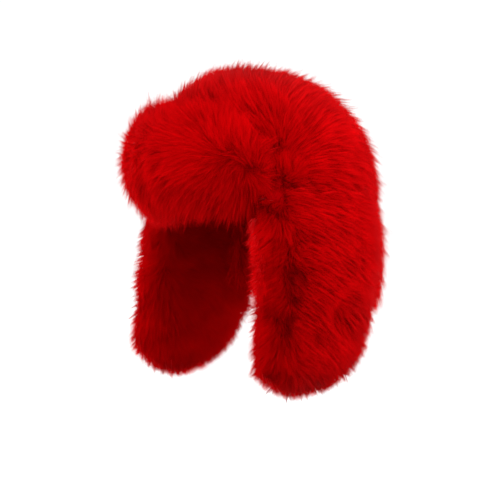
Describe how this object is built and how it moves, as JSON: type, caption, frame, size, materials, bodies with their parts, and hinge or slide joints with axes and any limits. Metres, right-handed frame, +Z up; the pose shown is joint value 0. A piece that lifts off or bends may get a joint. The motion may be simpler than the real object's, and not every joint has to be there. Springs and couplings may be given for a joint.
{
  "type": "fur trapper hat",
  "caption": "Deep-pile trapper hat: hollow domed crown, front visor turned up against it, two long ear flaps furred on both faces hanging open, and a neck flap behind.",
  "frame": {"origin": "middle of the head opening at the brow line, where the crown grips the head", "axes": "+Z up through the top of the head, -Y out of the forehead, +X towards the wearer's left ear"},
  "size_m": [0.283, 0.2975, 0.348],
  "materials": {
    "crown_fur": "long soft pile",
    "visor_fur": "long soft pile",
    "flap_fur": "long soft pile"
  },
  "bodies": {
    "root": {"crown": "crown_fur", "visor": "visor_fur", "ear_flap_left": "flap_fur", "ear_flap_right": "flap_fur", "neck_flap": "flap_fur"}
  },
  "joints": []
}
